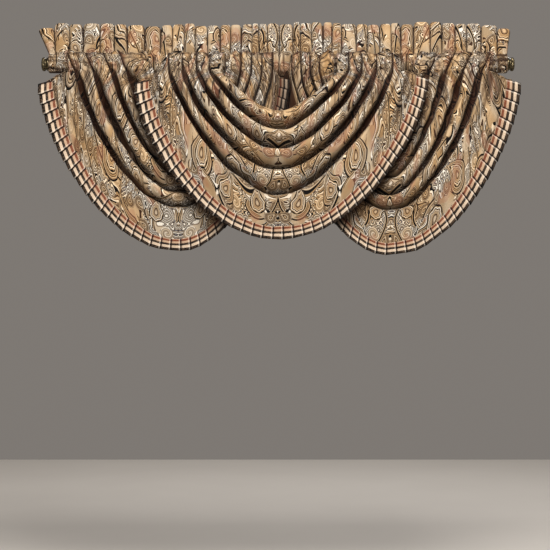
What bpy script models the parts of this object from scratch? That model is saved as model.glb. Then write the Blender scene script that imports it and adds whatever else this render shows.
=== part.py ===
"""A waterfall valance on its curtain rod, modelled at real size.

The valance has a shirred header: a rod pocket with a stand-up ruffle above it. Three draped swags are gathered
to the stitching under the ruffle and hang down over the pocket. The centre swag hangs in front of the two side
swags. A knife-pleated ribbon is sewn round the curved hem of each swag. The rod runs through the pocket and
ends in two turned caps.

Frame: the origin is on the rod's axis at mid length, +X runs along the rod to the right, +Y to the back and
+Z up. The front of the valance faces -Y. Sizes are in millimetres and become metres where a mesh is made.
"""

import math
from collections import namedtuple

import bmesh
import bpy
from mathutils import Matrix, Vector

MM = 0.001

# Rod and end caps
ROD_RADIUS = 14.0
ROD_HALF_LENGTH = 554.0
ROD_SIDES = 20
CAP_RADIUS = 16.5
CAP_NECK_RADIUS = 13.5
CAP_FACE_RADIUS = 12.0
CAP_LENGTH = 17.0
SEAT_GAP = 0.3

# The turned outline of an end cap: the share of its length, and the radius there.
Turning = namedtuple("Turning", "along radius")
CAP_OUTLINE = [
    Turning(0.0, 0.0), Turning(0.0, CAP_RADIUS), Turning(0.27, CAP_RADIUS), Turning(0.34, CAP_NECK_RADIUS),
    Turning(0.52, CAP_NECK_RADIUS), Turning(0.6, CAP_RADIUS), Turning(0.86, CAP_RADIUS),
    Turning(1.0, CAP_FACE_RADIUS), Turning(1.0, 0.0),
]

# Header: rod pocket below the stitching, stand-up ruffle above it
POCKET_HALF_LENGTH = 553.5
POCKET_SEAM_Z = -20.5
POCKET_SEAM_HALF_DEPTH = 7.0
POCKET_RADIUS = 17.8
POCKET_PUFF = 1.2
CHANNEL_RADIUS = 15.0
CHANNEL_DROP = 0.65
CHANNEL_OVERRUN = 20.0
STITCH_Z = 24.0
RUFFLE_THICKNESS = 4.0
RUFFLE_LEFT_FLARE = -21.0
RUFFLE_RIGHT_FLARE = 8.0
FLARE_POWER = 60
RUFFLE_WAVE = 6.5
RUFFLE_MIDDLE = 0.45
MIDDLE_WAVE = 0.8
SLIT_DROP = 2.0
END_PUFF = 0.4
SHOULDERS = (0.0, 0.17, 0.83)

# The front of the pocket from below to above: its reach as a share of the pocket's radius, and its height.
PocketRow = namedtuple("PocketRow", "reach z")
POCKET_ROWS = [PocketRow(0.82, -13.5), PocketRow(1.0, 0.0), PocketRow(0.76, 13.0)]

# Cloth and drape
CLOTH_THICKNESS = 2.0
GATHER_TOP_Z = 21.0
GATHER_Z = -20.0
GATHER_Y = -24.5
GATHER_DEPTH = 3.2
GATHER_LEAN = 12.0
GATHER_STEPS = (0.45, 0.75, 1.0)
BOTTOM_ROUNDING = 0.13
TUCK_SHARE = 0.06
TUCK_RUN = 0.25
WANDER = 0.12
WANDER_ACROSS = 5.0
WANDER_DOWN = 2.1
ACROSS_STEPS = 22
FOLD_STEPS = (0.0, 0.08, 0.3, 0.58, 0.84)
PANEL_STEPS = (0.0, 0.05, 0.16, 0.42, 0.72, 1.0, 1.35)

# The section of a fold at the swag's bottom and at a gather: where its crest lies between two valleys, how
# high the crest is, and how full it stays on the way down to the next valley.
FoldShape = namedtuple("FoldShape", "crest height fullness")
FOLD_LOW = FoldShape(crest=0.24, height=1.0, fullness=1.0)
FOLD_GATHERED = FoldShape(crest=0.42, height=1.0, fullness=0.6)
PANEL_LOW = FoldShape(crest=0.2, height=0.75, fullness=1.0)
PANEL_GATHERED = FoldShape(crest=0.16, height=0.6, fullness=1.0)
RISE_FULLNESS = 0.8
UPPER_EDGE_RELIEF = -0.2

# Pleated trim
TRIM_PLEAT = 24.0
TRIM_BAND = 1.5
TRIM_RISE = 2.6
TRIM_SEWN_RISE = 1.0
TRIM_STEP = 0.5
TRIM_CLEARANCE = 0.6
TRIM_EDGE_STEP = 0.04
CURVE_SAMPLES = 400
NUDGE = 0.001

# Each pleat of the header from left to right: its width on the rod and the height of its top above the axis.
Pleat = namedtuple("Pleat", "width top")
HEADER_PLEATS = [
    Pleat(16, 87), Pleat(35, 99), Pleat(32, 96), Pleat(41, 98), Pleat(35, 98), Pleat(31, 96),
    Pleat(42, 94), Pleat(38, 91), Pleat(28, 94), Pleat(29, 96), Pleat(27, 98), Pleat(31, 92),
    Pleat(30, 93), Pleat(25, 95), Pleat(25, 95), Pleat(26, 96), Pleat(17, 98), Pleat(21, 97),
    Pleat(29, 98), Pleat(33, 96), Pleat(18, 102), Pleat(28, 99), Pleat(27, 101), Pleat(21, 101),
    Pleat(23, 99), Pleat(36, 97), Pleat(28, 96), Pleat(29, 95), Pleat(28, 97), Pleat(23, 99),
    Pleat(30, 96), Pleat(41, 102), Pleat(28, 102), Pleat(32, 99), Pleat(28, 97), Pleat(35, 98),
    Pleat(39, 94), Pleat(24, 86),
]

# A line of a swag runs from the left gather down round the bottom and up to the right gather. The first line
# is the free upper edge, the next ones are the valleys between the folds, and the last two are the trim's
# inner and outer edge. x is measured along the rod and z from its axis; roundness 1 is a V and 2 an ellipse.
Line = namedtuple("Line", "left_x right_x left_z right_z bottom_z roundness")

# body_y, left_y and right_y say how far forward the cloth's middle hangs at the bottom and at both sides.
Swag = namedtuple("Swag", "name bottom_x lines body_y left_y right_y run depth phase")

CENTRE_SWAG = Swag(
    name="centre",
    bottom_x=0,
    lines=[
        Line(-134, 144, -20, -20, -114, 1.24),
        Line(-168, 173, -20, -20, -163, 1.28),
        Line(-199, 205, -20, -20, -209, 1.36),
        Line(-233, 240, -20, -20, -257, 1.42),
        Line(-266, 279, -20, -20, -317, 1.36),
        Line(-311, 332, -43, -36, -394, 1.52),
        Line(-346, 360, -52, -44, -423, 1.56),
    ],
    body_y=-62,
    left_y=-48,
    right_y=-48,
    run=45,
    depth=14,
    phase=0.4,
)
LEFT_SWAG = Swag(
    name="left",
    bottom_x=-240,
    lines=[
        Line(-326, -112, -20, -20, -187, 1.30),
        Line(-365, -88, -20, -20, -235, 1.32),
        Line(-403, -63, -20, -20, -274, 1.32),
        Line(-445, -38, -20, -20, -311, 1.42),
        Line(-490, -12, -20, -20, -348, 1.42),
        Line(-545, 6, -41, -36, -422, 1.50),
        Line(-578, 30, -51, -40, -450, 1.54),
    ],
    body_y=-18,
    left_y=-16,
    right_y=-26,
    run=65,
    depth=12,
    phase=1.9,
)
RIGHT_SWAG = Swag(
    name="right",
    bottom_x=270,
    lines=[
        Line(120, 331, -20, -20, -192, 1.30),
        Line(98, 366, -20, -20, -240, 1.32),
        Line(76, 406, -20, -20, -279, 1.32),
        Line(54, 446, -20, -20, -317, 1.42),
        Line(32, 492, -20, -20, -354, 1.42),
        Line(12, 551, -60, -40, -432, 1.50),
        Line(-12, 585, -70, -50, -460, 1.54),
    ],
    body_y=-18,
    left_y=-9,
    right_y=-16,
    run=65,
    depth=12,
    phase=3.1,
)
SWAGS = (CENTRE_SWAG, LEFT_SWAG, RIGHT_SWAG)


def clear_scene():
    """Remove whatever the scene holds."""
    for obj in list(bpy.data.objects):
        bpy.data.objects.remove(obj, do_unlink=True)


def material(name, colour, roughness, metallic=0.0):
    """Return a Principled material."""
    made = bpy.data.materials.new(name)
    made.use_nodes = True
    shader = made.node_tree.nodes["Principled BSDF"]
    shader.inputs["Base Color"].default_value = (*colour, 1.0)
    shader.inputs["Roughness"].default_value = roughness
    shader.inputs["Metallic"].default_value = metallic
    return made


def add_object(name, bm, finish, smooth_angle=None):
    """Turn a bmesh in millimetres into a named object in metres."""
    bmesh.ops.transform(bm, matrix=Matrix.Scale(MM, 4), verts=bm.verts)
    mesh = bpy.data.meshes.new(name)
    bm.to_mesh(mesh)
    bm.free()
    mesh.materials.append(finish)
    if smooth_angle is not None:
        mesh.shade_smooth()
        mesh.set_sharp_from_angle(angle=math.radians(smooth_angle))
    obj = bpy.data.objects.new(name, mesh)
    bpy.context.collection.objects.link(obj)
    return obj


def smooth_step(value):
    """Return 0 below 0, 1 above 1 and a smooth rise between."""
    value = min(1.0, max(0.0, value))
    return value * value * (3.0 - 2.0 * value)


def mix(low, high, share):
    """Return the value that lies share of the way from low to high."""
    return low + (high - low) * share


def cylinder_along_x(bm, radius, length, sides, centre):
    """Add a capped cylinder whose axis runs along X."""
    turn = Matrix.Rotation(math.radians(90), 4, "Y")
    bmesh.ops.create_cone(
        bm, cap_ends=True, segments=sides, radius1=radius, radius2=radius, depth=length,
        matrix=Matrix.Translation(Vector(centre)) @ turn,
    )


def build_rod(finish):
    """Build the plain round rod."""
    bm = bmesh.new()
    cylinder_along_x(bm, ROD_RADIUS, 2 * ROD_HALF_LENGTH, ROD_SIDES, (0, 0, 0))
    return add_object("rod", bm, finish, smooth_angle=40)


def build_cap(name, side, finish):
    """Turn one end cap: two rings with a neck between them and a flat outer face."""
    start = ROD_HALF_LENGTH + SEAT_GAP
    bm = bmesh.new()
    points = [
        bm.verts.new((side * (start + turning.along * CAP_LENGTH), 0.0, turning.radius)) for turning in CAP_OUTLINE
    ]
    edges = [bm.edges.new(pair) for pair in zip(points, points[1:])]
    bmesh.ops.spin(
        bm, geom=points + edges, cent=(0, 0, 0), axis=(1, 0, 0), angle=math.tau, steps=ROD_SIDES,
        use_merge=True, use_duplicate=False,
    )
    bmesh.ops.remove_doubles(bm, verts=bm.verts, dist=0.001)
    bmesh.ops.recalc_face_normals(bm, faces=bm.faces)
    return add_object(name, bm, finish, smooth_angle=30)


def header_section(x, puff, top):
    """Return the closed section of the header at one station.

    puff is 0 in the slit between two pleats and 1 on the face of a pleat. The section goes up the front of
    the pocket, up and down the ruffle, and down the back of the pocket.
    """
    middle_z = mix(STITCH_Z, top, RUFFLE_MIDDLE)
    flare = RUFFLE_LEFT_FLARE if x < 0 else RUFFLE_RIGHT_FLARE
    lean = (abs(x) / POCKET_HALF_LENGTH) ** FLARE_POWER * flare
    wave_top = RUFFLE_WAVE * (1.0 - 2.0 * puff)
    wave_middle = MIDDLE_WAVE * wave_top
    half = RUFFLE_THICKNESS / 2
    radius = POCKET_RADIUS + POCKET_PUFF * puff
    front = [(x, -POCKET_SEAM_HALF_DEPTH, POCKET_SEAM_Z)]
    front += [(x, -row.reach * radius, row.z) for row in POCKET_ROWS]
    front.append((x, -half - POCKET_PUFF * puff, STITCH_Z))
    ruffle = [
        (x + RUFFLE_MIDDLE * lean, wave_middle - half, middle_z),
        (x + lean, wave_top - half, top),
        (x + lean, wave_top + half, top),
        (x + RUFFLE_MIDDLE * lean, wave_middle + half, middle_z),
    ]
    back = [(place, -y, z) for place, y, z in reversed(front)]
    return front + ruffle + back


def header_sections():
    """Yield the sections of the header from left to right, three for each pleat."""
    scale = 2 * POCKET_HALF_LENGTH / sum(pleat.width for pleat in HEADER_PLEATS)
    x = -POCKET_HALF_LENGTH
    for number, pleat in enumerate(HEADER_PLEATS):
        width = pleat.width * scale
        before = HEADER_PLEATS[max(0, number - 1)].top
        for share in SHOULDERS:
            in_slit = share == SHOULDERS[0]
            top = min(before, pleat.top) - SLIT_DROP if in_slit else pleat.top
            yield header_section(x + share * width, 0.0 if in_slit else 1.0, top)
        x += width
    yield header_section(POCKET_HALF_LENGTH, END_PUFF, HEADER_PLEATS[-1].top - SLIT_DROP)


def loft(bm, sections):
    """Skin closed sections of equal count and cap both ends."""
    rings = []
    for section in sections:
        rings.append([bm.verts.new(point) for point in section])
    for near, far in zip(rings, rings[1:]):
        for index in range(len(near)):
            following = (index + 1) % len(near)
            bm.faces.new((near[index], far[index], far[following], near[following]))
    bm.faces.new(rings[0])
    bm.faces.new(list(reversed(rings[-1])))
    bmesh.ops.triangulate(bm, faces=bm.faces[-2:])
    bmesh.ops.recalc_face_normals(bm, faces=bm.faces)


def build_header(finish):
    """Build the shirred header and cut the channel that the rod runs through."""
    bm = bmesh.new()
    loft(bm, header_sections())
    header = add_object("header", bm, finish)
    cutter_bm = bmesh.new()
    length = 2 * (POCKET_HALF_LENGTH + CHANNEL_OVERRUN)
    cylinder_along_x(cutter_bm, CHANNEL_RADIUS, length, ROD_SIDES, (0, 0, -CHANNEL_DROP))
    cutter = add_object("channel_cutter", cutter_bm, finish)
    cutter.hide_render = True
    cutter.display_type = "WIRE"
    cut = header.modifiers.new("rod channel", "BOOLEAN")
    cut.operation = "DIFFERENCE"
    cut.object = cutter
    return header


def fold_count(swag):
    """Return how many folds lie above the flat lower panel, whose two outer lines are the trim's."""
    return len(swag.lines) - 3


def line_at(swag, down):
    """Return the line of the swag at a place counted in lines from the upper edge."""
    first = min(int(down), len(swag.lines) - 2)
    share = down - first
    pair = zip(swag.lines[first], swag.lines[first + 1])
    return Line(*(mix(low, high, share) for low, high in pair))


def point_on_line(swag, line, across):
    """Return x and z on a line, where across runs from -1 at the left gather to 1 at the right one."""
    left = across < 0
    reach = swag.bottom_x - line.left_x if left else line.right_x - swag.bottom_x
    end_z = line.left_z if left else line.right_z
    rounded = math.hypot(across, BOTTOM_ROUNDING) - BOTTOM_ROUNDING
    share = min(1.0, rounded / (math.hypot(1.0, BOTTOM_ROUNDING) - BOTTOM_ROUNDING))
    drop = (1.0 - share ** line.roundness) ** (1.0 / line.roundness)
    return swag.bottom_x + across * reach, mix(end_z, line.bottom_z, drop)


def fold_depth(swag, across, down):
    """Return how far the cloth stands out at a place, from -1 in a valley to 1 on a crest.

    A fold rises steeply from the valley above it to its crest and falls away slowly to the next valley. The
    panel below the last fold rises to a low crest and runs out flat to the hem.
    """
    fold = min(int(down), fold_count(swag))
    place = down - fold
    panel = fold == fold_count(swag)
    low, gathered = (PANEL_LOW, PANEL_GATHERED) if panel else (FOLD_LOW, FOLD_GATHERED)
    shape = FoldShape(*(mix(*pair, min(1.0, across * across)) for pair in zip(low, gathered)))
    if place <= shape.crest:
        start = UPPER_EDGE_RELIEF if fold == 0 else -1.0
        return mix(start, shape.height, math.sin(place / shape.crest * math.pi / 2) ** RISE_FULLNESS)
    fall = max(0.0, math.cos(min(1.0, (place - shape.crest) / (1.0 - shape.crest)) * math.pi / 2))
    return mix(0.0 if panel else -1.0, shape.height, fall ** shape.fullness)


def swag_point(swag, across, down):
    """Return the point of the cloth's middle surface at a place across and down the swag.

    across runs from -1 to 1 between the gathers. Beyond them the gathered folds run straight up the front of
    the pocket to the stitching, where across is -2 or 2. The panel outside the last fold stays below it.
    """
    x, z = point_on_line(swag, line_at(swag, down), max(-1.0, min(1.0, across)))
    folds = fold_count(swag)
    below = 1.0 - (1.0 - smooth_step((GATHER_Z - z) / swag.run)) * (1.0 - smooth_step(down - folds))
    reach = max(0.0, abs(across) - 1.0)
    rise = mix(1.0, TUCK_SHARE, smooth_step((down - folds) / TUCK_RUN))
    z += reach * rise * (GATHER_TOP_Z - GATHER_Z)
    edge = swag.lines[-1]
    side_y, side_x = (swag.left_y, edge.left_x) if x < swag.bottom_x else (swag.right_y, edge.right_x)
    body = mix(swag.body_y, side_y, ((x - swag.bottom_x) / (side_x - swag.bottom_x)) ** 2)
    middle = mix(GATHER_Y + GATHER_LEAN * (reach * rise) ** 4, body, below)
    wander = 1.0 + WANDER * math.sin(WANDER_ACROSS * across + WANDER_DOWN * down + swag.phase) * below
    depth = mix(GATHER_DEPTH, swag.depth, below) * wander
    return Vector((x, middle - depth * fold_depth(swag, across, down), z))


def across_places():
    """Return places across a swag, closer together towards the gathers and on up the pocket."""
    middle = [math.sin(math.pi / 2 * (2.0 * step / ACROSS_STEPS - 1.0)) for step in range(ACROSS_STEPS + 1)]
    left = [-1.0 - step for step in reversed(GATHER_STEPS)]
    right = [1.0 + step for step in GATHER_STEPS]
    return left + middle + right


def down_places(swag):
    """Return places down a swag: a few on each fold, then the flat lower panel and its hem."""
    folds = fold_count(swag)
    places = [fold + step for fold in range(folds) for step in FOLD_STEPS]
    return places + [folds + step for step in PANEL_STEPS]


def build_swag(swag, finish):
    """Drape one swag as a sheet and give it the cloth's thickness."""
    columns = across_places()
    rows = down_places(swag)
    bm = bmesh.new()
    bmesh.ops.create_grid(bm, x_segments=len(columns) - 1, y_segments=len(rows) - 1, size=1.0)
    for vert in bm.verts:
        column = round((vert.co.x + 1.0) / 2.0 * (len(columns) - 1))
        row = round((1.0 - vert.co.y) / 2.0 * (len(rows) - 1))
        vert.co = swag_point(swag, columns[column], rows[row])
    bmesh.ops.recalc_face_normals(bm, faces=bm.faces)
    obj = add_object(f"swag_{swag.name}", bm, finish)
    thickness = obj.modifiers.new("cloth thickness", "SOLIDIFY")
    thickness.thickness = CLOTH_THICKNESS * MM
    thickness.offset = 0.0
    return obj


def lifted(swag, across, down, height):
    """Return the point that stands a height in front of the cloth's middle surface."""
    here = swag_point(swag, across, down)
    aside = swag_point(swag, min(1.0, across + NUDGE), down) - swag_point(swag, max(-1.0, across - NUDGE), down)
    along = swag_point(swag, across, down + NUDGE) - swag_point(swag, across, down - NUDGE)
    normal = aside.cross(along).normalized()
    if normal.y > 0:
        normal.negate()
    return here + normal * height


def hem_places(swag):
    """Return places across the swag where each pleat of the trim starts, and the last one's end."""
    hem = len(swag.lines) - 1.5
    samples = [2.0 * step / CURVE_SAMPLES - 1.0 for step in range(CURVE_SAMPLES + 1)]
    points = [swag_point(swag, across, hem) for across in samples]
    lengths = [0.0]
    for near, far in zip(points, points[1:]):
        lengths.append(lengths[-1] + (far - near).length)
    pleats = round(lengths[-1] / TRIM_PLEAT)
    pitch = lengths[-1] / pleats
    places = []
    for pleat in range(pleats):
        for wanted in (pleat * pitch, (pleat + 1) * pitch - TRIM_STEP):
            after = next(index for index, length in enumerate(lengths) if length >= wanted)
            before = max(0, after - 1)
            span = max(NUDGE, lengths[after] - lengths[before])
            places.append(mix(samples[before], samples[after], (wanted - lengths[before]) / span))
    return places


def build_trim(swag, finish):
    """Build the knife-pleated ribbon that is sewn round the front of a swag's hem."""
    inner = len(swag.lines) - 2.0
    back = CLOTH_THICKNESS / 2 + TRIM_CLEARANCE
    sections = []
    for index, across in enumerate(hem_places(swag)):
        high = index % 2
        outer = inner + 1.0 + (TRIM_EDGE_STEP if high else 0.0)
        front = back + TRIM_BAND
        sections.append([
            lifted(swag, across, inner, back),
            lifted(swag, across, inner, front + TRIM_SEWN_RISE * high),
            lifted(swag, across, outer, front + TRIM_RISE * high),
            lifted(swag, across, outer, back),
        ])
    bm = bmesh.new()
    loft(bm, sections)
    return add_object(f"trim_{swag.name}", bm, finish)


def main():
    """Build every piece."""
    clear_scene()
    cloth = material("paisley_cloth", (0.52, 0.41, 0.28), 0.75)
    ribbon = material("striped_ribbon", (0.6, 0.42, 0.3), 0.6)
    brass = material("aged_brass", (0.22, 0.18, 0.1), 0.4, 0.9)
    build_rod(brass)
    build_cap("cap_left", -1, brass)
    build_cap("cap_right", 1, brass)
    build_header(cloth)
    for swag in SWAGS:
        build_swag(swag, cloth)
        build_trim(swag, ribbon)


main()
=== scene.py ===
"""Dresses the waterfall valance: gathered paisley cloth, pleated trims and a brass rod with end caps."""

import logging
import math
from collections.abc import Callable, Iterable
from dataclasses import dataclass
from enum import Enum
from functools import cached_property
from typing import TypeVar

import bmesh
import bpy
from mathutils import Matrix, Vector, noise


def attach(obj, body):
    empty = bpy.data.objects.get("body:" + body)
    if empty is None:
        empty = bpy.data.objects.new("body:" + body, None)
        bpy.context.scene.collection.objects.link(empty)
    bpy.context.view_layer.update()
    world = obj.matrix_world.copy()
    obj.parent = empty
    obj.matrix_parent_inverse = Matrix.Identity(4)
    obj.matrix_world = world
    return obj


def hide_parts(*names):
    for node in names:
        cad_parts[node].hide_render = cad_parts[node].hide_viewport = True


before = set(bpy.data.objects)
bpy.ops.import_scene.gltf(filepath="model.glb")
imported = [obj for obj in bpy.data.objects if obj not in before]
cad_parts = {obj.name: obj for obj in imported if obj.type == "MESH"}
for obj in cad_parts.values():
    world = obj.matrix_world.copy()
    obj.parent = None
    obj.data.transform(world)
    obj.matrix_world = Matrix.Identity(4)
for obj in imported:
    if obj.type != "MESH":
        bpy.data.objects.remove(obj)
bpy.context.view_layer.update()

LOG = logging.getLogger("valance")
MM = 0.001
ROOT = "root"

Colour = tuple[float, float, float, float]
Place = tuple[float, float]
Material = bpy.types.Material
Object = bpy.types.Object
Socket = bpy.types.NodeSocket
Row = TypeVar("Row")


def srgb(red: int, green: int, blue: int) -> Colour:
    """Turn an 8-bit display colour into the linear colour that a shader takes."""
    linear = [((part / 255 + 0.055) / 1.055) ** 2.4 for part in (red, green, blue)]
    return (linear[0], linear[1], linear[2], 1.0)


def mix(low: float, high: float, share: float) -> float:
    """Return the value that lies share of the way from low to high."""
    return low + (high - low) * share


def ease(value: float) -> float:
    """Return 0 below 0, 1 above 1 and a smooth rise between."""
    value = min(1.0, max(0.0, value))
    return value * value * (3.0 - 2.0 * value)


def wave(x: float, y: float, z: float) -> float:
    """Return smooth noise about 0 at a place."""
    return noise.noise(Vector((x, y, z)))


def table(kind: type[Row], rows: Iterable[tuple[float, ...]]) -> tuple[Row, ...]:
    """Turn the rows of a table into objects whose fields name its columns."""
    return tuple(kind(*row) for row in rows)


def mesh_of(name: str, bm: bmesh.types.BMesh) -> bpy.types.Mesh:
    """Turn a finished BMesh into a mesh."""
    mesh = bpy.data.meshes.new(name)
    bm.to_mesh(mesh)
    bm.free()
    return mesh


def object_of(name: str, data: bpy.types.ID) -> Object:
    """Make an object at the origin and link it to the scene."""
    made = bpy.data.objects.new(name, data)
    bpy.context.collection.objects.link(made)
    return made


def stand_in(piece: Object, node: str) -> None:
    """Let a piece ride the one body and stand for its CAD node, which is hidden."""
    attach(piece, ROOT)
    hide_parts(node)


class Yarn(Enum):
    """The colours that the cloth and the ribbon are woven in."""

    INK = srgb(15, 9, 6)
    BROWN = srgb(66, 44, 29)
    TAUPE = srgb(146, 124, 102)
    BEIGE = srgb(208, 187, 158)
    CREAM = srgb(254, 244, 226)
    GOLD = srgb(177, 151, 117)
    RUST = srgb(158, 104, 78)
    SLATE = srgb(112, 110, 112)
    RIBBON_CREAM = srgb(220, 198, 172)
    RIBBON_PINK = srgb(196, 164, 134)
    RIBBON_RUST = srgb(116, 58, 34)
    RIBBON_BLACK = srgb(9, 6, 5)


# --------------------------------------------------------------------------- shader expressions


def math_method(operation: str, swapped: bool = False) -> Callable[["Signal", "Input"], "Signal"]:
    """Make a method that adds one Math node.

    Args:
        operation: The node's operation.
        swapped: Whether the other value comes first.

    Returns:
        The method.
    """

    def method(self: "Signal", other: "Input") -> "Signal":
        """Return the node's result."""
        return self.paint.math(operation, *((other, self) if swapped else (self, other)))

    return method


class Signal:
    """A number that varies over a surface, with Python arithmetic that adds Math nodes."""

    __add__ = math_method("ADD")
    __radd__ = math_method("ADD", swapped=True)
    __sub__ = math_method("SUBTRACT")
    __rsub__ = math_method("SUBTRACT", swapped=True)
    __mul__ = math_method("MULTIPLY")
    __rmul__ = math_method("MULTIPLY", swapped=True)
    __truediv__ = math_method("DIVIDE")
    __lt__ = math_method("LESS_THAN")
    __gt__ = math_method("GREATER_THAN")

    def __init__(self, paint: "Paint", socket: Socket) -> None:
        """Wrap the output socket that carries the number."""
        self.paint = paint
        self.socket = socket


Input = Signal | Socket | Yarn | float | int | tuple


class Paint:
    """One material and the nodes that are added to it."""

    def __init__(self, name: str) -> None:
        """Start a Principled material with this name."""
        self.material = bpy.data.materials.new(name)
        self.material.use_nodes = True
        self.tree = self.material.node_tree
        self.shader = self.tree.nodes["Principled BSDF"]

    def feed(self, socket: Socket, value: Input) -> None:
        """Link a socket to a signal or another socket, or set its own constant value."""
        if isinstance(value, Signal):
            value = value.socket
        elif isinstance(value, Yarn):
            value = value.value
        if isinstance(value, Socket):
            self.tree.links.new(value, socket)
        else:
            socket.default_value = value

    def add(
        self,
        kind: str,
        settings: dict[str, object] | None = None,
        inputs: dict[str | int, Input] | None = None,
    ) -> bpy.types.Node:
        """Add a node, set it up and feed its sockets.

        Args:
            kind: The node's type.
            settings: Properties by name.
            inputs: Values or links by socket name or index.

        Returns:
            The new node.
        """
        node = self.tree.nodes.new(kind)
        for name, value in (settings or {}).items():
            setattr(node, name, value)
        for name, value in (inputs or {}).items():
            self.feed(node.inputs[name], value)
        return node

    def math(self, operation: str, *values: Input) -> Signal:
        """Add a Math node with one to three inputs and return its result."""
        node = self.add("ShaderNodeMath", {"operation": operation}, dict(enumerate(values)))
        return Signal(self, node.outputs[0])

    def smooth(self, value: Input, low: float, high: float) -> Signal:
        """Return a smooth rise from 0 at low to 1 at high.

        Args:
            value: The number to map.
            low: Where the rise starts.
            high: Where it ends.

        Returns:
            The mapped number.
        """
        node = self.add(
            "ShaderNodeMapRange",
            {"interpolation_type": "SMOOTHSTEP"},
            {"Value": value, "From Min": low, "From Max": high},
        )
        return Signal(self, node.outputs["Result"])

    def blend(self, factor: Input, first: Input, second: Input, mode: str = "MIX") -> Socket:
        """Mix two colours.

        Args:
            factor: 0 for the first colour and 1 for the second.
            first: The first colour.
            second: The second colour.
            mode: The blend type.

        Returns:
            The mixed colour's socket.
        """
        settings = {"data_type": "RGBA", "blend_type": mode}
        return self.add("ShaderNodeMix", settings, {0: factor, 6: first, 7: second}).outputs[2]

    def choose(self, factor: Input, first: Input, second: Input) -> Socket:
        """Mix two vectors: a factor of 0 gives the first one and 1 the second."""
        inputs = {0: factor, 4: first, 5: second}
        return self.add("ShaderNodeMix", {"data_type": "VECTOR"}, inputs).outputs[1]

    def parts(self, vector: Input) -> tuple[Signal, Signal]:
        """Split a vector and return its X and Y."""
        node = self.add("ShaderNodeSeparateXYZ", None, {0: vector})
        return Signal(self, node.outputs[0]), Signal(self, node.outputs[1])

    def join(self, x: Input, y: Input) -> Socket:
        """Return the vector with this X and Y."""
        return self.add("ShaderNodeCombineXYZ", None, {0: x, 1: y}).outputs[0]

    def length(self, vector: Input) -> Signal:
        """Return the length of a vector."""
        node = self.add("ShaderNodeVectorMath", {"operation": "LENGTH"}, {0: vector})
        return Signal(self, node.outputs["Value"])

    def ramp(self, factor: Input, stops: Iterable[tuple[float, Yarn]], reach: float = 1.0) -> Socket:
        """Return the yarn of the last stop that the factor has passed, where both go up to a reach.

        Args:
            factor: The number.
            stops: Pairs of place and yarn, from low to high.
            reach: The largest number that the ramp shows.

        Returns:
            The colour's socket.
        """
        node = self.add("ShaderNodeValToRGB", None, {0: factor if reach == 1.0 else factor / reach})
        places = list(stops)
        while len(node.color_ramp.elements) < len(places):
            node.color_ramp.elements.new(1.0)
        for element, (place, yarn) in zip(node.color_ramp.elements, places):
            element.position = place / reach
            element.color = yarn.value
        node.color_ramp.interpolation = "CONSTANT"
        return node.outputs[0]

    def noise(self, place: Input, scale: float, detail: float) -> Socket:
        """Return soft noise in three dimensions."""
        inputs = {"Vector": place, "Scale": scale, "Detail": detail}
        return self.add("ShaderNodeTexNoise", None, inputs).outputs[0]

    def sine(self, run: Signal, pitch: float) -> Signal:
        """Return a wave from -1 to 1 with this pitch in metres."""
        return self.math("SINE", run * (math.tau / pitch))

    def less(self, place: Input, origin: Input) -> Socket:
        """Return a place measured from an origin."""
        inputs = {0: place, 1: origin}
        return self.add("ShaderNodeVectorMath", {"operation": "SUBTRACT"}, inputs).outputs[0]

    def scaled(self, vector: Input, scale: float) -> Socket:
        """Return a vector times a number."""
        inputs = {0: vector, "Scale": scale}
        return self.add("ShaderNodeVectorMath", {"operation": "SCALE"}, inputs).outputs[0]

    def settle(self, constants: dict[str, float]) -> None:
        """Set constant inputs of the shader by their names."""
        for name, value in constants.items():
            self.shader.inputs[name].default_value = value

    def uv(self, name: str) -> Socket:
        """Return the named UV map as a vector."""
        return self.add("ShaderNodeUVMap", {"uv_map": name}).outputs[0]

    def attribute(self, name: str) -> Signal:
        """Return the named attribute of the mesh as a number."""
        return Signal(self, self.add("ShaderNodeAttribute", {"attribute_name": name}).outputs["Fac"])

    def cloud(self, vector: Input, scale: float, detail: float = 2.0) -> Signal:
        """Return soft noise from 0 to 1, with scale lumps for each metre and detail octaves."""
        inputs = {"Vector": vector, "Scale": scale, "Detail": detail}
        return Signal(self, self.add("ShaderNodeTexNoise", {"noise_dimensions": "2D"}, inputs).outputs[0])

    def bump(self, height: Input, distance: float, strength: float = 1.0) -> None:
        """Raise the surface by a height from 0 to 1, whose full size is a distance in metres."""
        inputs = {"Height": height, "Distance": distance, "Strength": strength}
        node = self.add("ShaderNodeBump", None, inputs)
        self.tree.links.new(node.outputs[0], self.shader.inputs["Normal"])


# --------------------------------------------------------------------------- finishes


@dataclass(frozen=True)
class Teardrop:
    """One large paisley of the repeat: its place and round radius in metres, its turn and its curl."""

    across: float
    down: float
    radius: float
    turn: float
    curl: float


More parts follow.
